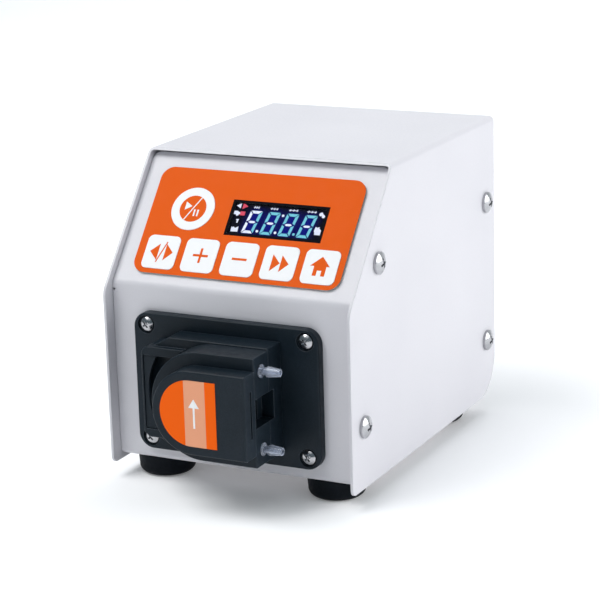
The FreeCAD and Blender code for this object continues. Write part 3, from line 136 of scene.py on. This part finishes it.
# ---- materials ----
class Mat:
    """A node material under construction. Its coordinates are the part's frame, in metres."""

    def __init__(self, name):
        self.mat = bpy.data.materials.new(name)
        self.mat.use_nodes = True
        self.tree = self.mat.node_tree
        self.bsdf = self.tree.nodes["Principled BSDF"]
        self.coord = self.node("ShaderNodeTexCoord").outputs["Object"]

    def node(self, kind, **props):
        n = self.tree.nodes.new(kind)
        for key, value in props.items():
            setattr(n, key, value)
        return n

    def link(self, a, b):
        self.tree.links.new(a, b)

    def put(self, socket, value):
        if isinstance(value, bpy.types.NodeSocket):
            self.link(value, socket)
        else:
            socket.default_value = value

    def set(self, **values):
        for key, value in values.items():
            self.put(self.bsdf.inputs[key.replace("_", " ")], value)

    def math(self, op, a, b=0.0, clamp=False):
        n = self.node("ShaderNodeMath", operation=op, use_clamp=clamp)
        self.put(n.inputs[0], a)
        self.put(n.inputs[1], b)
        return n.outputs[0]

    def noise(self, scale, detail, rough=0.55, vector=None):
        n = self.node("ShaderNodeTexNoise")
        self.link(vector or self.coord, n.inputs["Vector"])
        n.inputs["Scale"].default_value = scale
        n.inputs["Detail"].default_value = detail
        n.inputs["Roughness"].default_value = rough
        return n.outputs["Fac"]

    def stretch(self, x, y, z):
        n = self.node("ShaderNodeMapping")
        self.link(self.coord, n.inputs["Vector"])
        n.inputs["Scale"].default_value = (x, y, z)
        return n.outputs[0]

    def ramp(self, fac, low, high, a, b):
        """Value a below low, b above high, a straight line between."""
        n = self.node("ShaderNodeMapRange")
        self.put(n.inputs["Value"], fac)
        for key, value in (("From Min", low), ("From Max", high), ("To Min", a), ("To Max", b)):
            n.inputs[key].default_value = value
        return n.outputs["Result"]

    def mix(self, fac, a, b):
        n = self.node("ShaderNodeMix", data_type="RGBA")
        self.put(n.inputs[0], fac)
        self.put(n.inputs[6], a if isinstance(a, bpy.types.NodeSocket) else (*a, 1.0))
        self.put(n.inputs[7], b if isinstance(b, bpy.types.NodeSocket) else (*b, 1.0))
        return n.outputs[2]

    def bump(self, height, strength, distance, edge=0.0):
        n = self.node("ShaderNodeBump")
        n.inputs["Strength"].default_value = strength
        n.inputs["Distance"].default_value = distance
        self.put(n.inputs["Height"], height)
        if edge:
            self.link(self.edge_normal(edge), n.inputs["Normal"])
        self.link(n.outputs[0], self.bsdf.inputs["Normal"])

    def edge_normal(self, radius):
        n = self.node("ShaderNodeBevel", samples=4)
        n.inputs["Radius"].default_value = radius
        return n.outputs[0]

    def edges(self, radius):
        """1 along convex and concave edges, 0 on flats."""
        dot = self.node("ShaderNodeVectorMath", operation="DOT_PRODUCT")
        self.link(self.edge_normal(radius), dot.inputs[0])
        self.link(self.node("ShaderNodeNewGeometry").outputs["Normal"], dot.inputs[1])
        return self.ramp(dot.outputs["Value"], FLAT_COS, EDGE_COS, 0.0, 1.0)

    def axis(self, direction, origin=Vector((0, 0, 0))):
        """Distance in millimetres from origin along direction."""
        dot = self.node("ShaderNodeVectorMath", operation="DOT_PRODUCT")
        self.link(self.coord, dot.inputs[0])
        dot.inputs[1].default_value = direction
        along = self.math("MULTIPLY", dot.outputs["Value"], 1.0 / MM)
        return self.math("SUBTRACT", along, direction.dot(origin))

    def inside(self, value, low, high, soft=0.02):
        """1 where low < value < high, fading over soft on both sides of each limit."""
        a = self.ramp(value, low - soft, low + soft, 0.0, 1.0)
        b = self.ramp(value, high - soft, high + soft, 1.0, 0.0)
        return self.math("MULTIPLY", a, b)


def powder_coat(name, colour, deep):
    """Powder-coated sheet with its fine orange-peel grain."""
    m = Mat(name)
    cloud = m.ramp(m.noise(14, 2), 0.35, 0.7, 0.0, 0.35)
    fleck = m.ramp(m.noise(2600, 2, 0.7), 0.42, 0.72, 0.0, 0.3)
    shade = m.mix(m.math("ADD", cloud, fleck, True), colour, deep)
    # painted highlight: edges are lightened a quarter of the way toward near-white
    m.set(Base_Color=m.mix(m.math("MULTIPLY", m.edges(0.0005), 0.25), shade, (0.95, 0.95, 0.96)))
    m.set(Roughness=m.ramp(m.noise(900, 2), 0.3, 0.7, 0.36, 0.5), Specular_IOR_Level=0.6)
    grain = m.math("ADD", m.noise(1500, 3, 0.6), m.math("MULTIPLY", m.noise(420, 2), 0.8))
    m.bump(grain, 0.35, 0.00004, 0.0005)
    return m.mat


def moulded(name, colour, light, rough, shine=0.5):
    """Fine-textured moulded plastic, with a painted highlight that makes it a little lighter along its
    edges.
    """
    m = Mat(name)
    spots = m.ramp(m.noise(MOULD_SCALE, 3, 0.65), 0.4, 0.75, 0.0, 0.5)
    cloud = m.ramp(m.noise(30, 3), 0.35, 0.7, 0.0, 0.4)
    base = m.mix(m.math("ADD", spots, cloud, True), colour, light)
    # painted highlight: the edges are mixed toward this paler colour, standing in for light catching them
    wear_and_sheen = tuple(min(1.0, c * 2.0 + 0.05) for c in light)
    edge_sheen_mask = m.math("MULTIPLY", m.edges(MOULD_EDGE), 0.75)
    m.set(Base_Color=m.mix(edge_sheen_mask, base, wear_and_sheen), Specular_IOR_Level=shine)
    m.set(Roughness=m.ramp(m.noise(260, 4), 0.3, 0.7, rough - 0.06, rough + 0.08))
    m.bump(m.noise(MOULD_SCALE, 3, 0.65), 0.3, 0.00005, MOULD_EDGE)
    return m.mat


def metal(name, colour, rough, stretch, scale, metallic=1.0, wear_and_sheen=0.28):
    """Metal or metallic sleeve; worn sets how much its colour and surface vary."""
    m = Mat(name)
    streak = m.noise(scale, 4, 0.7, m.stretch(*stretch))
    dark = tuple(c * (1 - wear_and_sheen) for c in colour)
    m.set(Base_Color=m.mix(m.ramp(streak, 0.3, 0.75, 0.0, 1.0), colour, dark), Metallic=metallic)
    m.set(Roughness=m.ramp(streak, 0.3, 0.7, rough - wear_and_sheen * 0.2, rough + wear_and_sheen * 0.35))
    m.bump(streak, wear_and_sheen * 0.45, 0.00003, METAL_EDGE)
    return m.mat


def printed_film(name, colour, rough=0.42, glow=0.0):
    """Satin printed film; glow is its emission."""
    m = Mat(name)
    dots = m.ramp(m.noise(5200, 2, 0.7), 0.35, 0.75, 0.0, 0.16)
    dark = tuple(c * 0.8 for c in colour)
    print_colour = m.mix(dots, colour, dark)
    m.set(Base_Color=print_colour, Specular_IOR_Level=0.04)
    m.set(Emission_Color=print_colour, Emission_Strength=glow)
    m.set(Roughness=m.ramp(m.noise(240, 3), 0.3, 0.7, rough - 0.05, rough + 0.07))
    m.bump(m.noise(3600, 2, 0.6), 0.1, 0.00003, 0.0001)
    return m.mat


def rubber(name, colour):
    """Dull black rubber with a little dust."""
    m = Mat(name)
    dust = m.ramp(m.noise(160, 5, 0.7), 0.5, 0.85, 0.0, 0.3)
    m.set(Base_Color=m.mix(dust, colour, tuple(c * 2.2 + 0.004 for c in colour)), Specular_IOR_Level=0.13)
    m.set(Roughness=m.ramp(m.noise(700, 3), 0.3, 0.7, 0.52, 0.7))
    m.bump(m.noise(1800, 3, 0.6), 0.3, 0.00006, 0.0003)
    return m.mat


def milky(name, colour, through):
    """Translucent moulded plastic."""
    m = Mat(name)
    dark = tuple(c * 0.86 for c in colour)
    m.set(Base_Color=m.mix(m.ramp(m.noise(500, 3), 0.35, 0.7, 0.0, 0.4), colour, dark))
    m.set(Roughness=m.ramp(m.noise(900, 3), 0.3, 0.7, 0.12, 0.24), Transmission_Weight=through, IOR=1.45)
    m.bump(m.noise(700, 2), 0.08, 0.00005, 0.0002)
    return m.mat


def circuit_board(name):
    """Green solder mask with paler tracks."""
    m = Mat(name)
    brick = m.node("ShaderNodeTexBrick")
    m.link(m.stretch(380, 380, 380), brick.inputs["Vector"])
    brick.inputs["Scale"].default_value = 1.0
    brick.inputs["Mortar Size"].default_value = 0.08
    tracks = m.math("MULTIPLY", brick.outputs["Fac"], m.ramp(m.noise(60, 2), 0.45, 0.5, 0.0, 0.7))
    m.set(Base_Color=m.mix(tracks, (0.012, 0.1, 0.045), (0.1, 0.32, 0.12)))
    m.set(Roughness=m.ramp(m.noise(500, 3), 0.3, 0.7, 0.3, 0.42))
    m.bump(tracks, 0.3, 0.00003)
    return m.mat


def wire_colours(name):
    """Insulation whose colour changes from wire to wire with their places."""
    m = Mat(name)
    cell = m.node("ShaderNodeTexVoronoi", feature="F1")
    m.link(m.stretch(55, 6, 9), cell.inputs["Vector"])
    cell.inputs["Scale"].default_value = 1.0
    hue = m.node("ShaderNodeSeparateColor")
    m.link(cell.outputs["Color"], hue.inputs[0])
    pick = m.mix(m.ramp(hue.outputs[0], 0.45, 0.5, 0.0, 1.0), (0.3, 0.02, 0.02), (0.02, 0.02, 0.025))
    m.set(Base_Color=pick, Roughness=m.ramp(m.noise(600, 2), 0.3, 0.7, 0.36, 0.5))
    m.bump(m.noise(1500, 2), 0.15, 0.00003)
    return m.mat


def window_glass(name):
    """Clear tinted window with a dark navy border round its clear part; only a little gloss is added over
    the display.
    """
    m = Mat(name)
    clear = m.node("ShaderNodeBsdfTransparent")
    tint = m.mix(m.ramp(m.noise(120, 2), 0.3, 0.7, 0.0, 1.0), (0.9, 0.92, 0.98), (0.86, 0.89, 0.96))
    m.link(tint, clear.inputs["Color"])
    gloss = m.node("ShaderNodeBsdfGlossy")
    m.link(m.ramp(m.noise(300, 3), 0.3, 0.7, 0.1, 0.2), gloss.inputs["Roughness"])
    fresnel = m.node("ShaderNodeFresnel")
    fresnel.inputs["IOR"].default_value = 1.05
    blend = m.node("ShaderNodeMixShader")
    m.link(fresnel.outputs[0], blend.inputs[0])
    m.link(clear.outputs[0], blend.inputs[1])
    m.link(gloss.outputs[0], blend.inputs[2])
    x = m.math("SUBTRACT", m.axis(ACROSS), WINDOW_X)
    v = m.math("SUBTRACT", m.axis(SLOPE_UP, SLOPE_ORIGIN), WINDOW_V)
    clear_part = m.math("MULTIPLY", m.inside(x, -CLEAR_HALF_X, CLEAR_HALF_X, 0.05),
                        m.inside(v, -CLEAR_HALF_V, CLEAR_HALF_V, 0.05))
    m.set(Base_Color=m.mix(m.noise(300, 2), NAVY, NAVY_PALE))
    m.set(Roughness=0.4, Specular_IOR_Level=0.02)
    border = m.node("ShaderNodeMixShader")
    m.link(clear_part, border.inputs[0])
    m.link(m.bsdf.outputs[0], border.inputs[1])
    m.link(blend.outputs[0], border.inputs[2])
    out = next(n for n in m.tree.nodes if n.type == "OUTPUT_MATERIAL")
    m.link(border.outputs[0], out.inputs["Surface"])
    return m.mat


def display_face(name):
    """Dark navy module with a blue glow round the digits; lean runs across, slanted as the digits are."""
    m = Mat(name)
    x = m.axis(ACROSS)
    v = m.axis(SLOPE_UP, SLOPE_ORIGIN)
    lean = m.math("SUBTRACT", x, m.math("MULTIPLY", m.math("SUBTRACT", v, DIGIT_V), DIGIT_SLANT))
    margin, half_tall = 3.5, 5.6      # the glow past the outer digits, and up and down from their middle
    wide = m.inside(lean, DIGIT_X0 - margin, DIGIT_X0 + 3 * DIGIT_PITCH + margin, 2.6)
    tall = m.inside(v, DIGIT_V - half_tall, DIGIT_V + half_tall, 2.4)
    glow = m.math("MULTIPLY", wide, tall)
    first_edge = DIGIT_X0 - DIGIT_PITCH / 2
    turn = m.math("FRACT", m.math("DIVIDE", m.math("SUBTRACT", lean, first_edge), DIGIT_PITCH))
    near = m.ramp(m.math("ABSOLUTE", m.math("SUBTRACT", turn, 0.5)), 0.1, 0.5, 1.0, 0.45)
    grain = m.ramp(m.noise(1800, 3), 0.3, 0.7, 0.8, 1.15)
    glow = m.math("MULTIPLY", m.math("MULTIPLY", glow, near), grain)
    front = m.inside(m.axis(SLOPE_OUT, SLOPE_ORIGIN), -0.3, 0.5, 0.05)
    m.set(Base_Color=m.mix(m.noise(300, 2), NAVY, NAVY_PALE))
    m.set(Roughness=m.ramp(m.noise(800, 2), 0.3, 0.7, 0.3, 0.45), Specular_IOR_Level=0.0)
    m.set(Emission_Color=m.mix(glow, (0.0003, 0.0006, 0.006), (0.003, 0.008, 0.27)))
    m.set(Emission_Strength=m.math("MULTIPLY", front, 0.75))
    return m.mat


def lit_digits(name):
    """Teal segments; the middle bars, the points and the first digit but its right-hand bars are white."""
    m = Mat(name)
    x = m.axis(ACROSS)
    v = m.math("SUBTRACT", m.axis(SLOPE_UP, SLOPE_ORIGIN), DIGIT_V)
    lean = m.math("SUBTRACT", m.math("SUBTRACT", x, m.math("MULTIPLY", v, DIGIT_SLANT)), DIGIT_X0)
    left, inner, right = -9.0, 1.5, 3.4    # the first digit's sides, and where its right-hand bars begin
    mitre = 2.65                      # its top and bottom bars stay white up to this slanting cut
    beyond = m.math("SUBTRACT", m.math("ABSOLUTE", v), lean)
    corner = m.ramp(beyond, mitre - 0.02, mitre + 0.02, 0.0, 1.0)
    first = m.math("MAXIMUM", m.inside(lean, left, inner), corner)
    first = m.math("MULTIPLY", first, m.inside(lean, left, right))
    phase = m.math("FRACT", m.math("DIVIDE", lean, DIGIT_PITCH))
    side = m.math("ABSOLUTE", m.math("SUBTRACT", phase, 0.5))
    half_bar = 0.62
    bars = m.math("MULTIPLY", m.inside(v, -half_bar, half_bar), m.ramp(side, 0.298, 0.302, 0.0, 1.0))
    dots = m.math("MULTIPLY", m.inside(phase, 0.36, 0.64), m.inside(lean, 0.0, 2 * DIGIT_PITCH))
    white = m.math("MAXIMUM", m.math("MAXIMUM", first, bars), dots, True)
    flicker = m.ramp(m.noise(1500, 2), 0.3, 0.7, 0.88, 1.1)
    m.set(Base_Color=UNLIT, Roughness=0.4, Specular_IOR_Level=0.0)
    m.set(Emission_Color=m.mix(white, (0.19, 0.61, 0.66), (0.9, 0.93, 1.0)))
    m.set(Emission_Strength=m.math("MULTIPLY", flicker, 1.15))
    return m.mat


def lamp(name, colour, strength):
    """A lit mark of one colour."""
    m = Mat(name)
    m.set(Base_Color=UNLIT, Roughness=0.4, Specular_IOR_Level=0.0)
    flicker = m.ramp(m.noise(1500, 2), 0.3, 0.7, strength * 0.88, strength)
    m.set(Emission_Color=(*colour, 1), Emission_Strength=flicker)
    return m.mat


def make_materials():
    """Give each CAD node the finish of its material slot, and return the finishes by slot."""
    white = powder_coat("powder_white", (0.675, 0.66, 0.695), (0.585, 0.575, 0.615))
    charcoal = moulded("moulded_charcoal", CHARCOAL, (0.016, 0.025, 0.036), 0.4, shine=0.17)
    nickel = metal("bright_nickel", (0.5, 0.5, 0.52), 0.19, (1, 1, 1), 500, wear_and_sheen=0.16)
    steel = metal("turned_steel", (0.5, 0.51, 0.53), 0.33, (1, 6, 1), 400)
    black = moulded("moulded_black", (0.012, 0.012, 0.014), (0.03, 0.03, 0.034), 0.4)
    by_slot = {
        "white_paint": white,
        "orange_film": printed_film("film_orange", ORANGE),
        "white_key": printed_film("film_white", (0.93, 0.93, 0.94), 0.36),
        "charcoal_plastic": charcoal,
        "black_plastic": black,
        "black_rubber": rubber("foot_rubber", (0.001, 0.003, 0.006)),
        "nickel_steel": nickel,
        "bare_steel": steel,
        "aluminium": metal("cast_aluminium", (0.72, 0.73, 0.75), 0.42, (1, 1, 1), 1200),
        "milky_plastic": milky("connector_milky", (0.74, 0.8, 0.93), 0.75),
        "silicone": milky("tube_silicone", (0.85, 0.83, 0.76), 0.3),
        "smoked_window": window_glass("window_clear"),
        "lit_segments": lit_digits("digits_lit"),
        "label_orange": printed_film("label_film", ORANGE, 0.36, LABEL_GLOW),
        "label_band": printed_film("label_band_film", (0.71, 0.32, 0.19), 0.36, LABEL_GLOW),
        "board_green": circuit_board("board_mask"),
        "capacitor_can": metal("can_sleeve", (0.02, 0.025, 0.05), 0.3, (1, 1, 4), 300, 0.1),
        "terminal_green": moulded("terminal_moulding", (0.02, 0.2, 0.07), (0.04, 0.28, 0.11), 0.42),
        "wire_mix": wire_colours("wire_insulation"),
        "bronze": metal("sintered_bronze", (0.45, 0.27, 0.12), 0.45, (1, 1, 1), 2400),
        "clear_film": moulded("circuit_film", (0.32, 0.34, 0.32), (0.4, 0.42, 0.4), 0.3),
        "white_plastic": moulded("roller_moulding", (0.75, 0.74, 0.7), (0.82, 0.81, 0.78), 0.35),
        "motor_laminations": metal("laminations", (0.05, 0.05, 0.055), 0.4, (0.02, 60, 0.02), 60, 0.6),
    }
    for part in frame["record"]["subparts"]:
        node = NODES[part["node"]]
        node.data.materials.clear()
        node.data.materials.append(by_slot[part["material_slot"]])
    NODES["display_module"].data.materials[0] = display_face("module_face")
    return by_slot


# ---- printed and raised pieces ----
def on_slope(x, v, n):
    """A point in metres, from millimetres across, up and out of the slope."""
    return (SLOPE_ORIGIN + Vector((x, 0, 0)) + SLOPE_UP * v + SLOPE_OUT * n) * MM


def on_label(x, z, n):
    """A point in metres, from millimetres across, up and out of the label, from the rotor's axis."""
    return Vector((x, LABEL_Y - n, AXIS_Z + z)) * MM


def film(name, loops, low, high, place, body, material, soften=0.02):
    """Thin printed shapes: each loop is extruded between two heights, and soften rounds its top edge."""
    bm = bmesh.new()
    rims = []
    for loop in loops:
        bottom = [bm.verts.new(place(x, y, low)) for x, y in loop]
        top = [bm.verts.new(place(x, y, high)) for x, y in loop]
        bm.faces.new(bottom)
        bm.faces.new(top)
        count = len(loop)
        for i in range(count):
            j = (i + 1) % count
            bm.faces.new((bottom[i], bottom[j], top[j], top[i]))
        rims += [bm.edges.get((top[i], top[(i + 1) % count])) for i in range(count)]
    bmesh.ops.recalc_face_normals(bm, faces=bm.faces)
    if soften:
        bmesh.ops.bevel(bm, geom=rims, offset=soften * MM, segments=2, affect="EDGES", clamp_overlap=True)
    mesh = bpy.data.meshes.new(name)
    bm.to_mesh(mesh)
    bm.free()
    mesh.materials.append(material)
    piece = bpy.data.objects.new(name, mesh)
    scene.collection.objects.link(piece)
    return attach(piece, body)


def shifted(loops, dx, dy):
    return [[(x + dx, y + dy) for x, y in loop] for loop in loops]


def disc(r, count):
    turns = [2 * math.pi * i / count for i in range(count)]
    return [(r * math.cos(turn), r * math.sin(turn)) for turn in turns]


def bar(x0, y0, x1, y1, width):
    """Straight stroke of a given width."""
    dx, dy = x1 - x0, y1 - y0
    length = math.hypot(dx, dy)
    px, py = -dy / length * width / 2, dx / length * width / 2
    return [(x0 + px, y0 + py), (x0 - px, y0 - py), (x1 - px, y1 - py), (x1 + px, y1 + py)]


def key_icons(by_slot):
    """Symbols on the keys, drawn in millimetres from each key's middle."""
    orange = by_slot["orange_film"]
    icons = {
        "key_direction": [[(-1.3, 4.0), (-1.3, -4.0), (-5.5, 0)],
                          [(1.9, 4.05), (5.85, 0.1), (1.9, -4.0)],
                          bar(-1.3, -5.0, 1.9, 5.1, 0.6)],
        "key_plus": [[(-0.25, 3.55), (-0.25, 0.55), (-3.4, 0.55), (-3.4, -0.55),
                      (-0.25, -0.55), (-0.25, -3.55), (0.85, -3.55), (0.85, -0.55),
                      (4.0, -0.55), (4.0, 0.55), (0.85, 0.55), (0.85, 3.55)]],
        "key_minus": [bar(-3.6, 0, 3.6, 0, 1.1)],
        "key_fast": [[(-3.9, 3.9), (-3.9, -4.2), (0.2, -0.1)], [(0.55, 3.8), (0.55, -4.2), (4.5, -0.2)]],
        "key_home": [[(0, 4.9), (-4.9, 0.3), (-2.9, 0.3), (-2.9, -4.3), (-1.05, -4.3), (-1.05, -1.7),
                      (1.05, -1.7), (1.05, -4.3), (2.9, -4.3), (2.9, 0.3), (4.5, 0.3)]],
    }
    low, high = KEY_TOP - PRINT_SINK, KEY_TOP + PRINT_HEIGHT
    for key, loops in icons.items():
        film(key + "_icon", shifted(loops, KEYS[key], KEY_V), low, high, on_slope, key, orange)
    film("key_start_disc", shifted([disc(6.5, 96)], *START), low, high, on_slope, "key_start",
         orange)
    marks = [[(-4.0, 3.2), (-4.0, -0.9), (-0.6, 1.2)], bar(-3.0, -5.65, 3.0, 5.65, 0.55),
             bar(1.2, -3.6, 1.2, -0.3, 0.8), bar(2.9, -3.6, 2.9, -0.3, 0.8)]
    film("key_start_icon", shifted(marks, *START), high - PRINT_SINK, high + PRINT_HEIGHT, on_slope,
         "key_start", by_slot["white_key"])


def display_icons():
    """Small generic marks beside and above the digits, in millimetres across and up the slope."""
    white = lamp("mark_white", (0.9, 0.91, 0.97), 1.15)
    red = lamp("mark_red", (0.9, 0.09, 0.13), 1.05)
    low, high = -0.08, 0.02
    arrow = [(-9.3, 48.4), (-7.1, 49.6), (-7.1, 47.2)]
    drop = [(-9.7, 45.7), (-8.2, 45.9), (-6.6, 45.1), (-6.6, 44.5), (-7.3, 43.9), (-7.9, 43.3),
            (-8.5, 44.1), (-9.5, 44.2)]
    crown = [(-1.75, -1.5), (-1.85, 0.9), (-1.2, 0.5), (-0.8, 1.0), (-0.3, 0.4), (0.3, 0.4),
             (0.9, 0.8), (1.5, 1.1), (1.6, -1.4)]
    house = [(-1.6, 1.8), (-1.1, 1.7), (-0.7, 1.4), (0.3, 1.9), (0.3, 1.2), (1.75, 0.0),
             (1.6, -2.0), (-1.35, -2.0), (-1.5, -0.9), (-1.9, -0.4)]
    loops = [arrow, drop, bar(-7.5, 41.6, -6.3, 41.6, 0.55), bar(-6.8, 41.5, -6.8, 40.1, 0.6)]
    loops += shifted([crown], -6.9, 37.2) + shifted([house], 32.9, 39.5)
    loops += shifted([disc(0.8, 40)], 32.1, 47.4) + [bar(32.1, 48.3, 34.1, 46.1, 0.75)]
    loops += shifted([disc(0.75, 40)], 33.5, 46.5)
    loops += shifted([disc(0.6, 40)], 14.4, 45.3)
    for x, tick in ((-0.7, 0.9), (7.5, 1.2), (16.4, 1.5), (25.3, 1.5)):
        for step in range(3):
            centre = x + step * (tick + 0.15) + tick / 2
            loops += [bar(centre - 0.1, 47.7, centre + 0.1, 48.8, 0.3)]
        loops += [bar(x, 48.2, x + 3 * tick, 48.2, 0.25)]
    film("display_marks_white", loops, low, high, on_slope, "case", white, 0)
    loops = [[(-6.2, 49.9), (-6.2, 46.9), (-3.6, 48.4)], bar(-6.5, 44.8, -4.2, 44.8, 1.9)]
    film("display_marks_red", loops, low, high, on_slope, "case", red, 0)


def label_mark(by_slot):
    """A plain flow arrow on the cassette's label band."""
    arrow = [(2.35, -6.4), (1.45, -6.4), (1.45, 2.6), (-0.7, 2.6), (1.9, 6.6), (4.5, 2.6), (2.35, 2.6)]
    film("label_mark", [arrow], -0.02, 0.03, on_label, "cassette", by_slot["white_key"], 0)


# ---- stage and lights ----
def make_stage():
    """Pale floor that sweeps up into a wall behind the object."""
    bm = bmesh.new()
    profile = [(-FLOOR_HALF, 0.0)]
    for i in range(SWEEP_STEPS + 1):
        turn = math.pi / 2 * i / SWEEP_STEPS
        profile.append((SWEEP_START + SWEEP_RADIUS * math.sin(turn),
                        SWEEP_RADIUS - SWEEP_RADIUS * math.cos(turn)))
    profile.append((SWEEP_START + SWEEP_RADIUS, WALL_TOP))
    rows = [[bm.verts.new((x, y, z)) for x in (-FLOOR_HALF, FLOOR_HALF)] for y, z in profile]
    for a, b in zip(rows, rows[1:]):
        bm.faces.new((a[0], a[1], b[1], b[0])).smooth = True
    mesh = bpy.data.meshes.new("floor")
    bm.to_mesh(mesh)
    bm.free()
    floor = bpy.data.objects.new("floor", mesh)
    scene.collection.objects.link(floor)
    m = Mat("floor_paper")
    m.set(Base_Color=m.mix(m.noise(6, 2), (0.93, 0.93, 0.94), (0.9, 0.9, 0.91)), Roughness=0.9,
          Specular_IOR_Level=0.1)
    m.set(Emission_Color=(1.0, 1.0, 1.0, 1.0), Emission_Strength=FLOOR_GLOW)
    mesh.materials.append(m.mat)


def area_light(name, place, target, size, power):
    data = bpy.data.lights.new(name, "AREA")
    data.shape = "RECTANGLE"
    data.size, data.size_y = size
    data.energy = power
    light = bpy.data.objects.new(name, data)
    scene.collection.objects.link(light)
    light.location = place
    aim = Vector(target) - Vector(place)
    light.rotation_euler = aim.to_track_quat("-Z", "Y").to_euler()


def make_light():
    world = bpy.data.worlds.new("studio")
    scene.world = world
    world.use_nodes = True
    background = world.node_tree.nodes["Background"]
    background.inputs["Color"].default_value = WORLD_COLOUR
    background.inputs["Strength"].default_value = WORLD_LIGHT
    for light in LIGHTS:
        area_light(*light)
    scene.view_settings.view_transform = "Standard"
    scene.view_settings.look = "None"
    scene.view_settings.exposure = 0.0
    scene.view_settings.gamma = 1.0


make_camera()
finishes = make_materials()
key_icons(finishes)
display_icons()
label_mark(finishes)
make_stage()
make_light()
